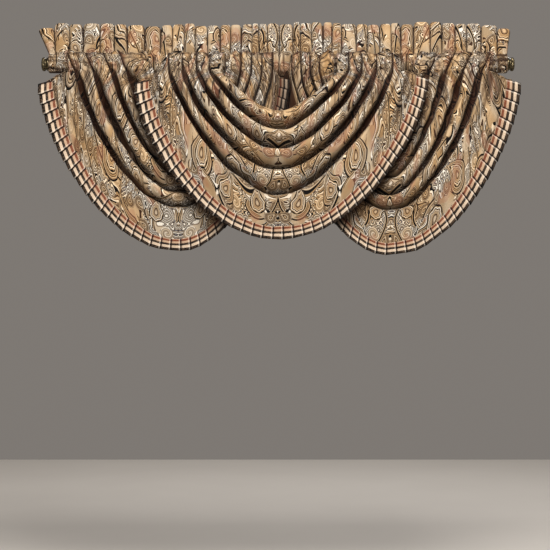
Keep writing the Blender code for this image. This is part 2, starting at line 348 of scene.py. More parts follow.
@dataclass(frozen=True)
class PaisleyCloth:
    """Woven paisley jacquard, mirrored about the middle of each cut piece."""

    name: str = "paisley cloth"
    half_repeat: float = 0.33
    repeat: float = 0.47
    petals: int = 7
    petal_depth: float = 0.05
    scroll_size: float = 0.040
    sweep_centre: tuple[float, float, float] = (0.13, -0.17, 0.0)
    drops: tuple[Teardrop, ...] = table(Teardrop, (
        (0.050, 0.412, 0.023, 206, 1.0),
        (0.142, 0.420, 0.019, 140, -1.0),
        (0.226, 0.400, 0.025, 196, 1.0),
        (0.304, 0.350, 0.020, 30, -1.0),
        (0.118, 0.318, 0.025, 24, -1.0),
        (0.214, 0.292, 0.020, 168, 1.0),
        (0.040, 0.262, 0.018, 150, 1.0),
        (0.290, 0.212, 0.025, 212, -1.0),
        (0.136, 0.198, 0.024, 236, 1.0),
        (0.054, 0.128, 0.021, 196, 1.0),
        (0.208, 0.100, 0.025, 140, -1.0),
        (0.118, 0.046, 0.019, 60, 1.0),
        (0.296, 0.034, 0.021, 200, 1.0),
    ))

    def drop_level(self, paint: Paint, place: Input, drop: Teardrop) -> tuple[Socket, Signal]:
        """Work out how far a place lies from the heart of a curled teardrop.

        Args:
            paint: The material being painted.
            place: The place in the repeat.
            drop: The teardrop.

        Returns:
            The place in the teardrop's own round space, and its level: 1 on the outline.
        """
        local = paint.add(
            "ShaderNodeMapping",
            {"vector_type": "TEXTURE"},
            {
                "Vector": place,
                "Location": (drop.across, drop.down, 0.0),
                "Rotation": (0.0, 0.0, math.radians(drop.turn)),
                "Scale": (drop.radius, drop.radius, 1.0),
            },
        ).outputs[0]
        return self.teardrop(paint, local, drop.curl)

    @staticmethod
    def teardrop(paint: Paint, local: Input, curl: float) -> tuple[Socket, Signal]:
        """Round a teardrop's own space into circles.

        Args:
            paint: The material being painted.
            local: The place, with the round part's radius as unit and the tip towards +Y.
            curl: How far the tip curls to +X.

        Returns:
            The rounded place and its level.
        """
        x, y = paint.parts(local)
        tip = paint.math("MAXIMUM", y, 0.0)
        width = paint.math("MAXIMUM", 1.0 - tip * 0.36, 0.16)
        bent = (x - tip * tip * (0.27 * curl)) / width
        tall = paint.math("MINIMUM", y, 0.0) + tip * 0.5
        rounded = paint.join(bent, tall)
        return rounded, paint.length(rounded)

    def large_paisley(self, paint: Paint, place: Input) -> tuple[Socket, Signal]:
        """Draw the large paisleys with their nested outlines.

        Args:
            paint: The material being painted.
            place: The place in the repeat.

        Returns:
            Their colour, and 1 where they lie.
        """
        nearest, level = self.drop_level(paint, place, self.drops[0])
        for drop in self.drops[1:]:
            other, other_level = self.drop_level(paint, place, drop)
            closer = other_level < level
            nearest = paint.choose(closer, nearest, other)
            level = paint.math("MINIMUM", level, other_level)
        x, y = paint.parts(nearest)
        angle = paint.math("ARCTAN2", x, y)
        petals = paint.math("SINE", angle * self.petals)
        within = paint.smooth(level, 0.3, 0.5) * (1.0 - paint.smooth(level, 0.86, 0.98))
        scalloped = level + petals * within * self.petal_depth
        reach = 1.65
        rings = (
            (0.00, Yarn.BEIGE), (0.14, Yarn.TAUPE), (0.22, Yarn.BROWN), (0.30, Yarn.GOLD),
            (0.44, Yarn.TAUPE), (0.50, Yarn.BEIGE), (0.60, Yarn.BROWN), (0.70, Yarn.CREAM),
            (0.77, Yarn.GOLD), (0.86, Yarn.INK), (0.99, Yarn.BEIGE), (1.09, Yarn.BROWN),
            (1.17, Yarn.GOLD), (1.27, Yarn.BROWN), (1.34, Yarn.BEIGE), (1.43, Yarn.TAUPE),
            (1.50, Yarn.INK),
        )
        colour = paint.ramp(scalloped, rings, reach)
        halo = paint.smooth(paint.cloud(place, 12.0, 0.0), 0.42, 0.46)
        return colour, level < 1.0 + halo * 0.65

    def small_scrolls(self, paint: Paint, place: Input) -> tuple[Socket, Signal]:
        """Draw the scrolls and small leaves that fill in between the large paisleys.

        Args:
            paint: The material being painted.
            place: The place on the cloth.

        Returns:
            Their colour, and 1 where they lie.
        """
        cells = paint.add(
            "ShaderNodeTexVoronoi",
            {"voronoi_dimensions": "2D", "feature": "F1"},
            {"Vector": place, "Scale": 1.0 / self.scroll_size, "Randomness": 0.75},
        )
        unit = paint.scaled(paint.less(place, cells.outputs["Position"]), 1.0 / self.scroll_size)
        chance, other_chance = paint.parts(cells.outputs["Color"])
        turned = paint.add(
            "ShaderNodeVectorRotate",
            {"rotation_type": "Z_AXIS"},
            {"Vector": unit, "Angle": chance * math.tau},
        ).outputs[0]
        x, y = paint.parts(turned)
        radius = paint.length(turned)
        winding = paint.math("FRACT", paint.math("ARCTAN2", x, y) / math.tau + radius * 3.4 + 1.0)
        turns = (
            (0.0, Yarn.INK), (0.24, Yarn.BEIGE), (0.46, Yarn.BROWN), (0.62, Yarn.CREAM),
            (0.82, Yarn.TAUPE),
        )
        _, level = self.teardrop(paint, paint.scaled(turned, 4.6), 1.0)
        outlines = (
            (0.0, Yarn.GOLD), (0.14, Yarn.BROWN), (0.24, Yarn.BEIGE), (0.36, Yarn.BROWN),
            (0.44, Yarn.GOLD), (0.52, Yarn.INK), (0.6, Yarn.TAUPE), (0.7, Yarn.BROWN),
            (0.76, Yarn.BEIGE), (0.84, Yarn.INK),
        )
        leaf = paint.ramp(level / 2.0, outlines)
        is_scroll = other_chance < 0.24
        faded = 0.45 + (other_chance < 0.12) * 0.3
        scroll = paint.blend(faded, paint.ramp(winding, turns), Yarn.BEIGE)
        colour = paint.blend(is_scroll, leaf, scroll)
        is_leaf = (1.0 - is_scroll) * (other_chance < 0.72)
        extent = paint.math("MAXIMUM", (radius < 0.4) * is_scroll, (level < 1.78) * is_leaf)
        return colour, extent

    def ground(self, paint: Paint, place: Input) -> Socket:
        """Draw the ground: flowing lines and a fine broken filling.

        Args:
            paint: The material being painted.
            place: The place on the cloth.

        Returns:
            The ground's colour.
        """
        flow = paint.cloud(place, 13.0, 1.0)
        flowing = (
            (0.0, Yarn.BEIGE), (0.2, Yarn.BROWN), (0.35, Yarn.GOLD), (0.52, Yarn.INK),
            (0.73, Yarn.CREAM), (0.9, Yarn.TAUPE),
        )
        broken = (
            (0.0, Yarn.CREAM), (0.25, Yarn.INK), (0.5, Yarn.BEIGE), (0.66, Yarn.SLATE),
            (0.82, Yarn.BROWN),
        )
        lines = paint.ramp(paint.math("FRACT", flow * 7.5), flowing)
        curls = paint.ramp(paint.math("FRACT", paint.cloud(place, 52.0, 0.0) * 5.0), broken)
        calm = paint.blend(paint.smooth(flow, 0.4, 0.6), Yarn.GOLD, Yarn.BEIGE)
        threads = paint.sine(paint.parts(place)[0], 0.0036) > 0.55
        calm = paint.blend(threads * 0.2, calm, Yarn.BROWN)
        chosen = paint.cloud(place, 21.0, 0.0)
        colour = paint.blend(chosen > 0.46, curls, lines)
        return paint.blend(chosen > 0.64, colour, calm)

    def sweeps(self, paint: Paint, place: Input) -> tuple[Socket, Signal]:
        """Draw the long curved outlines that sweep over the whole cloth.

        Args:
            paint: The material being painted.
            place: The place on the cloth.

        Returns:
            Their colour, and 1 where they lie.
        """
        away = paint.length(paint.less(place, self.sweep_centre))
        course = paint.math("FRACT", away * 21.0 + paint.cloud(place, 6.0, 0.0) * 2.4)
        outlines = (
            (0.0, Yarn.BROWN), (0.42, Yarn.BEIGE), (0.46, Yarn.INK), (0.54, Yarn.GOLD),
            (0.58, Yarn.BROWN),
        )
        colour = paint.ramp(course, outlines)
        shown = paint.cloud(place, 10.0, 0.0) > 0.43
        return colour, (course > 0.41) * (course < 0.59) * shown

    def dress(self) -> Material:
        """Paint the cloth.

        Returns:
            The finished material.
        """
        paint = Paint(self.name)
        u, v = paint.parts(paint.uv("cloth"))
        mirrored = paint.math("ABSOLUTE", u)
        sway = (paint.cloud(paint.join(mirrored, v), 9.0, 1.0) - 0.5) * 0.012
        open_place = paint.join(mirrored, v + sway)
        across = paint.math("PINGPONG", mirrored + sway, self.half_repeat)
        down = paint.math("FLOORED_MODULO", v, self.repeat)
        repeat_place = paint.join(across, down)

        colour = self.ground(paint, open_place)
        scrolls, scroll_extent = self.small_scrolls(paint, open_place)
        colour = paint.blend(scroll_extent, colour, scrolls)
        sweeps, sweep_extent = self.sweeps(paint, open_place)
        colour = paint.blend(sweep_extent, colour, sweeps)
        large, large_extent = self.large_paisley(paint, repeat_place)
        colour = paint.blend(large_extent, colour, large)

        tone = paint.cloud(open_place, 11.0, 2.0)
        warm = paint.blend(paint.smooth(tone, 0.35, 0.7), srgb(226, 228, 230), srgb(236, 218, 190))
        colour = paint.blend(0.9, colour, warm, "MULTIPLY")
        rusty = paint.smooth(paint.cloud(open_place, 19.0, 1.0), 0.62, 0.68)
        colour = paint.blend(rusty * 0.34, colour, Yarn.RUST)
        lightness = paint.add("ShaderNodeRGBToBW", None, {0: colour}).outputs[0]
        # Painted shade: the painted_light attribute, worked out from the folds, the gathers and the other
        # swags' shadows, darkens the colour towards brown.
        shade = paint.attribute("painted_light")
        colour = paint.blend(shade, paint.blend(1.0, colour, srgb(74, 50, 36), "MULTIPLY"), colour)
        paint.feed(paint.shader.inputs["Base Color"], colour)

        weave = paint.sine(u, 0.0011) * paint.sine(v, 0.0009) * 0.25
        paint.bump(weave + Signal(paint, lightness) * 1.4, 0.0003, 0.55)
        paint.feed(paint.shader.inputs["Roughness"], 0.86 - Signal(paint, lightness) * 0.3)
        paint.settle({"Specular IOR Level": 0.16, "Sheen Weight": 0.04, "Sheen Roughness": 0.45})
        return paint.material


@dataclass(frozen=True)
class ClothReverse:
    """The wrong side of the cloth: the floats of the yarns in a fine broken rib."""

    name: str = "cloth reverse"

    def dress(self) -> Material:
        """Paint the wrong side and return its material."""
        paint = Paint(self.name)
        place = paint.uv("cloth")
        u, v = paint.parts(place)
        mottle = paint.cloud(place, 60.0, 3.0)
        colour = paint.blend(paint.smooth(mottle, 0.35, 0.65), srgb(176, 152, 122), srgb(139, 113, 86))
        streak = paint.smooth(paint.cloud(paint.join(u * 0.25, v * 4.0), 120.0, 2.0), 0.52, 0.62)
        colour = paint.blend(streak * 0.55, colour, srgb(92, 70, 52))
        paint.feed(paint.shader.inputs["Base Color"], colour)
        paint.bump(paint.sine(v, 0.0012) * 0.5 + mottle, 0.0003, 0.6)
        paint.settle({"Roughness": 0.9, "Specular IOR Level": 0.2})
        return paint.material


@dataclass(frozen=True)
class StripedRibbon:
    """Ribbon striped along its length in cream, rust and black, lying in knife pleats."""

    name: str = "striped ribbon"
    width: float = 0.029

    def dress(self) -> Material:
        """Paint the ribbon and return its material."""
        paint = Paint(self.name)
        place = paint.uv("cloth")
        u, v = paint.parts(place)
        wobble = (paint.cloud(place, 160.0, 1.0) - 0.5) * 0.02
        stripes = (
            (0.0, Yarn.RIBBON_PINK), (0.05, Yarn.RIBBON_RUST), (0.22, Yarn.RIBBON_PINK),
            (0.39, Yarn.RIBBON_BLACK), (0.57, Yarn.RIBBON_CREAM), (0.77, Yarn.RIBBON_BLACK),
        )
        colour = paint.ramp(v / self.width + wobble, stripes)
        worn = paint.cloud(place, 300.0, 2.0)
        colour = paint.blend(paint.smooth(worn, 0.4, 0.7) * 0.25, colour, srgb(170, 138, 110))
        shade = paint.attribute("painted_light")
        # Painted highlight on the raised end of each pleat, where painted_light is near 1.
        crest = paint.smooth(shade, 0.93, 0.99)
        colour = paint.blend(crest * 0.3, colour, srgb(255, 244, 228), "SCREEN")
        # Painted shade: the ribbon darkens towards brown in the pleat gaps and in the other swags' shadows.
        colour = paint.blend(shade, paint.blend(1.0, colour, srgb(48, 28, 18), "MULTIPLY"), colour)
        paint.feed(paint.shader.inputs["Base Color"], colour)
        paint.bump(paint.sine(u, 0.0012) * 0.5 + worn, 0.00025, 0.6)
        paint.settle({"Roughness": 0.66, "Specular IOR Level": 0.2})
        return paint.material


@dataclass(frozen=True)
class AgedBrass:
    """Dark antique brass, mottled with patina and brushed along its length."""

    name: str = "aged brass"

    def dress(self) -> Material:
        """Paint the metal and return its material."""
        paint = Paint(self.name)
        place = paint.add("ShaderNodeTexCoord").outputs["Object"]
        patina = paint.noise(place, 260.0, 5.0)
        x, _ = paint.parts(place)
        brushed = paint.add(
            "ShaderNodeTexNoise", {"noise_dimensions": "1D"}, {"W": x, "Scale": 1800.0, "Detail": 2.0}
        ).outputs[0]
        dark = paint.smooth(patina, 0.38, 0.66)
        colour = paint.blend(dark, srgb(90, 80, 58), srgb(34, 29, 20))
        paint.feed(paint.shader.inputs["Base Color"], colour)
        paint.feed(paint.shader.inputs["Roughness"], dark * 0.22 + 0.26)
        paint.bump(Signal(paint, brushed) + Signal(paint, patina) * 0.6, 0.0002, 0.5)
        paint.settle({"Metallic": 0.9})
        return paint.material


@dataclass(frozen=True)
class PaleFloor:
    """Matte pale floor."""

    name: str = "pale floor"

    def dress(self) -> Material:
        """Paint the floor and return its material."""
        paint = Paint(self.name)
        place = paint.add("ShaderNodeTexCoord").outputs["Object"]
        colour = paint.blend(paint.noise(place, 3.0, 4.0), srgb(206, 200, 192), srgb(214, 208, 200))
        paint.feed(paint.shader.inputs["Base Color"], colour)
        paint.settle({"Roughness": 0.85})
        return paint.material


# --------------------------------------------------------------------------- cloth in general


@dataclass
class ClothGrid:
    """A net of points that becomes a thin cloth with a UV map in metres.

    Rows run down the cloth and columns across it. The front of the cloth faces -Y.
    """

    rows: list[list[Vector]]
    open_shade: list[list[float]]
    middle: int = 0
    cross_uv: list[float] | None = None
    front_rows: int = 0
    measured_row: int | None = None
    seat: float = 0.0

    def flat_places(self) -> list[list[Place]]:
        """Return where each point lies on the flat cloth: across from the middle and up from the hem."""
        places: list[list[Place]] = [[(0.0, 0.0)] * len(row) for row in self.rows]
        measured = [self.rows[self.measured_row]] * len(self.rows) if self.measured_row else self.rows
        across = [self.run_from(row, self.middle) for row in measured]
        last = len(self.rows) - 1
        for column in range(len(self.rows[0])):
            up = self.run_from([row[column] for row in self.rows], last)
            for row in range(len(self.rows)):
                v = self.cross_uv[row] if self.cross_uv else up[row]
                places[row][column] = (across[row][column], v + self.seat)
        return places

    @staticmethod
    def run_from(points: list[Vector], start: int) -> list[float]:
        """Return the signed length along a line of points, counted from the point at start."""
        run = [0.0] * len(points)
        for index in range(start + 1, len(points)):
            run[index] = run[index - 1] + (points[index] - points[index - 1]).length
        for index in range(start - 1, -1, -1):
            run[index] = run[index + 1] - (points[index + 1] - points[index]).length
        return run

    def build(self, name: str, thickness: float, finishes: list[Material]) -> Object:
        """Make the cloth.

        Args:
            name: The piece's name.
            thickness: The cloth's thickness in metres.
            finishes: The front's material, and the back's if it has its own.

        Returns:
            The new object.
        """
        count_down, count_across = len(self.rows), len(self.rows[0])
        places = self.flat_places()
        bm = bmesh.new()
        bmesh.ops.create_grid(bm, x_segments=count_across - 1, y_segments=count_down - 1, size=1.0)
        layer = bm.loops.layers.uv.new("cloth")
        # Painted light and shade for each point, which the materials multiply into their colour.
        shade_layer = bm.verts.layers.float.new("painted_light")
        seats: dict[int, tuple[int, int]] = {}
        for vert in bm.verts:
            column = round((vert.co.x + 1.0) / 2.0 * (count_across - 1))
            row = round((1.0 - vert.co.y) / 2.0 * (count_down - 1))
            seats[vert.index] = (row, column)
            vert.co = self.rows[row][column]
            vert[shade_layer] = self.open_shade[row][column]
        for face in bm.faces:
            for loop in face.loops:
                row, column = seats[loop.vert.index]
                loop[layer].uv = places[row][column]
            face.smooth = True
        bm.normal_update()
        lowest = {face: max(seats[vert.index][0] for vert in face.verts) for face in bm.faces}
        front = [face for face, row in lowest.items() if row <= self.front_rows]
        if sum(face.normal.y for face in front or bm.faces) > 0:
            bmesh.ops.reverse_faces(bm, faces=bm.faces)
        mesh = mesh_of(name, bm)
        for finish in finishes:
            mesh.materials.append(finish)
        piece = object_of(name, mesh)
        layer_up = piece.modifiers.new("thickness", "SOLIDIFY")
        layer_up.thickness = thickness
        layer_up.offset = -1.0
        if len(finishes) > 1:
            layer_up.material_offset = 1
        return piece


# --------------------------------------------------------------------------- swags


@dataclass(frozen=True)
class FoldLine:
    """A line of a swag in millimetres, from the left gather round the bottom to the right gather.

    x is measured along the rod and z up from its axis. Roundness 1 is a V and 2 an ellipse.
    """

    left_x: float
    right_x: float
    left_z: float
    right_z: float
    bottom_z: float
    roundness: float


@dataclass(frozen=True)
class FoldSection:
    """One row of a fold's section in three places: low at the bottom, side below a gather, and tight in it.

    Mark counts from the fold's upper line to its lower one along the cloth, and place across the swag.
    Relief runs from -1 in a valley to 1 on a crest. Light is painted shade for the cloth's colour: 0 in
    deep shade and 1 fully lit.
    """

    mark: float
    low_place: float
    side_place: float
    tight_place: float
    low_relief: float
    side_relief: float
    tight_relief: float
    low_light: float
    side_light: float
    tight_light: float

    def blend(self, gathered: float, tight: float) -> tuple[float, float, float]:
        """Return the place, the relief and the light between the three shapes."""
        return (
            mix(mix(self.low_place, self.side_place, gathered), self.tight_place, tight),
            mix(mix(self.low_relief, self.side_relief, gathered), self.tight_relief, tight),
            mix(mix(self.low_light, self.side_light, gathered), self.tight_light, tight),
        )


# The light columns of these tables are painted shade: dark in the valleys and under each fold.
FIRST_FOLD = table(FoldSection, (
    (0.00, 0.00, 0.00, 0.00, -0.10, -0.10, -0.10, 0.80, 0.80, 0.80),
    (0.20, 0.10, 0.10, 0.10, 0.45, 0.45, 0.45, 1.00, 1.00, 1.00),
    (0.42, 0.24, 0.24, 0.30, 0.95, 0.95, 0.95, 1.00, 1.00, 1.00),
    (0.58, 0.44, 0.42, 0.48, 0.85, 0.95, 0.95, 0.85, 1.00, 1.00),
    (0.70, 0.62, 0.56, 0.68, 0.40, 0.60, 0.80, 0.72, 1.00, 1.00),
    (0.77, 0.73, 0.62, 0.79, 0.10, -0.10, 0.50, 0.62, 0.30, 0.95),
    (0.84, 0.83, 0.67, 0.88, -0.30, -0.80, 0.10, 0.50, 0.03, 0.60),
    (0.92, 0.92, 0.80, 0.95, -0.65, -1.00, -0.50, 0.30, 0.03, 0.10),
    (1.00, 1.00, 1.00, 1.00, -1.00, -1.00, -1.00, 0.05, 0.00, 0.00),
))
FOLD = table(FoldSection, (
    (0.00, 0.00, 0.00, 0.00, -1.00, -1.00, -1.00, 0.05, 0.00, 0.00),
    (0.06, -0.03, -0.02, 0.01, -0.50, -0.60, -0.40, 0.15, 0.02, 0.20),
    (0.12, -0.04, -0.02, 0.04, 0.20, 0.20, 0.30, 0.85, 0.55, 0.90),
    (0.20, 0.03, 0.04, 0.11, 0.80, 0.80, 0.80, 1.00, 1.00, 1.00),
    (0.32, 0.15, 0.16, 0.24, 1.00, 1.00, 1.00, 1.00, 1.00, 1.00),
    (0.46, 0.33, 0.32, 0.42, 0.85, 1.00, 1.00, 0.90, 1.00, 1.00),
    (0.60, 0.52, 0.48, 0.60, 0.55, 0.85, 0.95, 0.80, 1.00, 1.00),
    (0.70, 0.66, 0.58, 0.74, 0.25, 0.45, 0.80, 0.70, 0.90, 1.00),
    (0.77, 0.75, 0.63, 0.83, 0.00, -0.20, 0.50, 0.62, 0.25, 0.95),
    (0.84, 0.84, 0.68, 0.90, -0.30, -0.80, 0.10, 0.50, 0.03, 0.60),
    (0.92, 0.93, 0.81, 0.96, -0.65, -1.00, -0.50, 0.30, 0.03, 0.10),
    (1.00, 1.00, 1.00, 1.00, -1.00, -1.00, -1.00, 0.05, 0.00, 0.00),
))
PANEL = table(FoldSection, (
    (0.00, 0.00, 0.00, 0.00, -1.00, -1.00, -1.00, 0.05, 0.00, 0.00),
    (0.02, -0.02, -0.02, 0.00, -0.50, -0.60, -0.40, 0.15, 0.02, 0.20),
    (0.04, -0.03, -0.02, 0.01, 0.10, 0.10, 0.20, 0.38, 0.55, 0.90),
    (0.07, 0.00, 0.01, 0.04, 0.50, 0.50, 0.50, 0.52, 1.00, 1.00),
    (0.12, 0.06, 0.06, 0.10, 0.75, 0.70, 0.70, 0.66, 1.00, 1.00),
    (0.20, 0.14, 0.14, 0.17, 0.80, 0.70, 0.70, 0.84, 1.00, 1.00),
    (0.40, 0.37, 0.37, 0.38, 0.60, 0.50, 0.50, 0.94, 1.00, 1.00),
    (0.70, 0.69, 0.69, 0.69, 0.25, 0.20, 0.20, 0.89, 0.93, 0.93),
    (1.00, 1.00, 1.00, 1.00, 0.00, 0.00, 0.00, 0.84, 0.88, 0.88),
    (1.40, 1.40, 1.40, 1.40, 0.00, 0.00, 0.00, 0.84, 0.88, 0.88),
    (1.80, 1.80, 1.80, 1.80, 0.00, 0.00, 0.00, 0.84, 0.88, 0.88),
    (2.20, 2.20, 2.20, 2.20, 0.00, 0.00, 0.00, 0.84, 0.88, 0.88),
))


@dataclass(frozen=True)
class CastShade:
    """Painted shadow that one swag casts on another: full up to x, leaning with the height, gone past its
    width.

    Sizes are in millimetres. A width below 0 shades the right of x. Light is what full shade leaves.
    """

    x: float
    lean: float
    width: float
    light: float

    def at(self, point: Vector) -> float:
        """Return the light at a point, from 0 to 1."""
        edge = self.x - self.lean * point.z
        return mix(self.light, 1.0, ease((point.x - edge) / self.width))


def stitch_height(x: float) -> float:
    """Return how high the gathering stitches lie at a station along the rod, in millimetres."""
    return 24.0 + 13.0 * wave(x * 0.045, 4.0, 0.0)


def thin_line(value: float, width: float) -> float:
    """Return 1 where a value is 0 and 0 where it is more than a width away from it."""
    return ease(1.0 - abs(value) / width)


def along_curve(before: float, low: float, high: float, after: float, share: float) -> float:
    """Return a value on the smooth curve through four values, share of the way from low to high."""
    start = (high - before) / 2
    end = (after - low) / 2
    bend = 3 * (high - low) - 2 * start - end
    twist = 2 * (low - high) + start + end
    return low + share * (start + share * (bend + share * twist))


def fold_at(
    sections: tuple[FoldSection, ...], mark: float, gathered: float, tight: float
) -> tuple[float, float, float]:
    """Work out a fold's section at one mark.

    Args:
        sections: The fold's rows.
        mark: The place along the cloth.
        gathered: 0 at the bottom of the swag and 1 beside a gather.
        tight: 1 where the folds lie close together.

    Returns:
        The place, the relief and the light.
    """
    last = len(sections) - 1
    row = max(0, min(last - 1, sum(section.mark <= mark for section in sections) - 1))
    share = (mark - sections[row].mark) / (sections[row + 1].mark - sections[row].mark)
    near = [sections[max(0, min(last, row + step))].blend(gathered, tight) for step in (-1, 0, 1, 2)]
    place, relief, light = (along_curve(*values, share) for values in zip(*near))
    return place, relief, min(1.0, max(0.0, light))


@dataclass(frozen=True)
class SwagForm:
    """The draped form of one swag, in millimetres."""

    name: str
    bottom_x: float
    body_y: float
    left_y: float
    right_y: float
    run: float
    depth: float
    seed: float
    lines: tuple[FoldLine, ...]
    seat: float = 0.0
    left_tight: float = 0.0
    right_tight: float = 0.0
    left_shift: float = 0.0
    right_shift: float = 0.0
    cast: CastShade | None = None
    behind: "SwagForm | None" = None
    gather_z: float = -20.0
    gather_rise: float = 3.0
    gather_y: float = -24.5
    gather_lean: float = 11.0
    gather_depth: float = 5.5
    rounding: float = 0.13
    edge_light_left: float = 0.14
    edge_shade_width: float = 20.0
    edge_shade_start: float = 6.0

    @cached_property
    def outer_edge(self) -> tuple[Vector, ...]:
        """Return points along the outer edge of the trim, in the plane of the rod."""
        places = [self.on_line(self.lines[-1], step / 40.0 - 1.0) for step in range(81)]
        return tuple(Vector((x, z)) for x, z in places)

    def edge_light(self, point: Vector) -> float:
        """Return the painted shadow that this swag's edge casts on the cloth behind it, as light from 0 to
        1.
        """
        here = Vector((point.x, point.z))
        gap = min((here - place).length for place in self.outer_edge)
        past = ease((gap - self.edge_shade_start) / self.edge_shade_width)
        return mix(self.edge_light_left, 1.0, max(past, 1.0 - ease((-40.0 - point.z) / 40.0)))

    def cast_light(self, point: Vector) -> float:
        """Return the painted light that the other swags' shadows leave at a point of this one, from 0 to 1.
        """
        light = self.cast.at(point) if self.cast else 1.0
        return light * (self.behind.edge_light(point) if self.behind else 1.0)

    @property
    def folds(self) -> int:
        """Return how many folds lie above the flat lower panel."""
        return len(self.lines) - 3

    def line_at(self, down: float) -> FoldLine:
        """Return the line at a place counted in lines from the upper edge."""
        first = max(0, min(int(math.floor(down)), len(self.lines) - 2))
        share = down - first
        low, high = self.lines[first], self.lines[first + 1]
        late = share**1.7 if first == self.folds else share
        return FoldLine(
            mix(low.left_x, high.left_x, share),
            mix(low.right_x, high.right_x, share),
            mix(low.left_z, high.left_z, late),
            mix(low.right_z, high.right_z, late),
            mix(low.bottom_z, high.bottom_z, share),
            mix(low.roundness, high.roundness, share),
        )

    def on_line(self, line: FoldLine, across: float) -> Place:
        """Return x and z on a line, where across runs from -1 to 1 between the gathers."""
        left = across < 0
        reach = self.bottom_x - line.left_x if left else line.right_x - self.bottom_x
        end_z = line.left_z if left else line.right_z
        rounded = math.hypot(across, self.rounding) - self.rounding
        share = min(1.0, rounded / (math.hypot(1.0, self.rounding) - self.rounding))
        drop = (1.0 - share**line.roundness) ** (1.0 / line.roundness)
        return self.bottom_x + across * reach, mix(end_z, line.bottom_z, drop)

    def section(self, across: float, down: float) -> tuple[float, float, float]:
        """Return the place in lines, the relief and the light at a place on the cloth."""
        fold = min(int(down), self.folds)
        sections = PANEL if fold == self.folds else FIRST_FOLD if fold == 0 else FOLD
        gathered = min(1.0, abs(across) ** 1.3 * 1.6)
        _, z = self.on_line(self.line_at(down), max(-1.0, min(1.0, across)))
        height = z + max(0.0, abs(across) - 1.0) * 45.0 + 14.0 * wave(down * 0.9, 0.0, self.seed + 28.0)
        drawn_in = (self.left_tight if across < 0 else self.right_tight) * ease((abs(across) - 0.25) / 0.5)
        tight = max(drawn_in, ease((height + 46.0) / 44.0) * ease(abs(across) * 4.0 - 2.6))
        place, relief, light = fold_at(sections, down - fold, gathered, tight)
        return fold + place, relief, light

    def point(self, across: float, down: float) -> Vector:
        """Return a point of the cloth in millimetres.

        Args:
            across: -1 to 1 between the gathers, on to -2 and 2 up the front of the pocket.
            down: The place counted in lines from the upper edge.

        Returns:
            The point.
        """
        place, relief, _ = self.section(across, down)
        reach = max(0.0, abs(across) - 1.0)
        inner = max(-1.0, min(1.0, across))
        fade = ease((down - self.folds) / 0.25)
        x, z = self.on_line(self.line_at(max(0.0, place)), inner)
        below = 1.0 - (1.0 - ease((self.gather_z - z) / self.run)) * (1.0 - ease(down - self.folds))
        rise = reach * mix(1.0, 0.06, fade)
        x += (self.left_shift if across < 0 else self.right_shift) * rise
        z += rise * (stitch_height(x) + self.gather_rise - self.gather_z)
        edge = self.lines[-1]
        side_y, side_x = (self.left_y, edge.left_x) if x < self.bottom_x else (self.right_y, edge.right_x)
        body = mix(self.body_y, side_y, ((x - self.bottom_x) / (side_x - self.bottom_x)) ** 2)
        middle = mix(self.gather_y + self.gather_lean * rise**4, body, below)
        wander = 1.0 + 0.22 * wave(x * 0.011, down * 0.9, self.seed) * below
        depth = mix(self.gather_depth * (1.0 - 0.55 * rise), self.depth, below) * wander
        y = middle - depth * relief
        y -= self.creases(across, down, x, z, below)
        x += 4.0 * wave(z * 0.03, down * 1.3, self.seed + 4.0) * below * (1.0 - ease(down - self.folds))
        z += 3.6 * wave(x * 0.022, down * 0.8, self.seed + 8.0) * below
        return Vector((x, y, z))

    def near_gather(self, across: float) -> float:
        """Return 1 in a gather, going down to 0 away from it."""
        return math.exp(-((max(0.0, 1.0 - abs(across)) / 0.2) ** 2))

    def pinch(self, across: float, down: float) -> float:
        """Return 1 along the narrow pinched creases of a gather."""
        first = wave(down * 2.6, abs(across) * 4.0, self.seed + 12.0)
        second = wave(down * 4.5, abs(across) * 2.0, self.seed + 16.0)
        return max(thin_line(first, 0.2), 0.9 * thin_line(second, 0.22)) * self.near_gather(across)

    def creases(self, across: float, down: float, x: float, z: float, below: float) -> float:
        """Return the fine creases that run down from the gathers and over the panel, in millimetres."""
        along_gather = wave(down * 5.5, across * 2.0, self.seed + 12.0)
        soft = wave(x * 0.02, z * 0.02, self.seed + 20.0)
        ridge = wave(across * 3.5, down * 4.2, self.seed + 24.0)
        outer = ease(down - self.folds)
        loose = (1.8 * soft + 1.5 * ridge) * below * mix(1.0, 0.6, outer)
        return 1.9 * self.near_gather(across) * along_gather - 1.3 * self.pinch(across, down) + loose

    def open_shade(self, across: float, down: float, point: Vector) -> float:
        """Return the painted shade of the cloth: 0 in a valley and 1 on a crest.

        Args:
            across: The place across the swag.
            down: The place counted in lines.
            point: The cloth's point there, in millimetres.

        Returns:
            The light from 0 to 1.
        """
        _, _, light = self.section(across, down)
        reach = max(0.0, abs(across) - 1.0)
        # Painted shade: dark pinched creases, a darker stitch line at the top of the gathers and the other
        # swags' shadows.
        gathers = ease(0.5 + 1.5 * wave(point.x * 0.09, 7.0, 0.0))
        seam = mix(0.9, 0.2 + 0.6 * gathers, light) * ease((reach - 0.78) / 0.2)
        return light * (1.0 - 0.8 * self.pinch(across, down)) * (1.0 - seam) * self.cast_light(point)


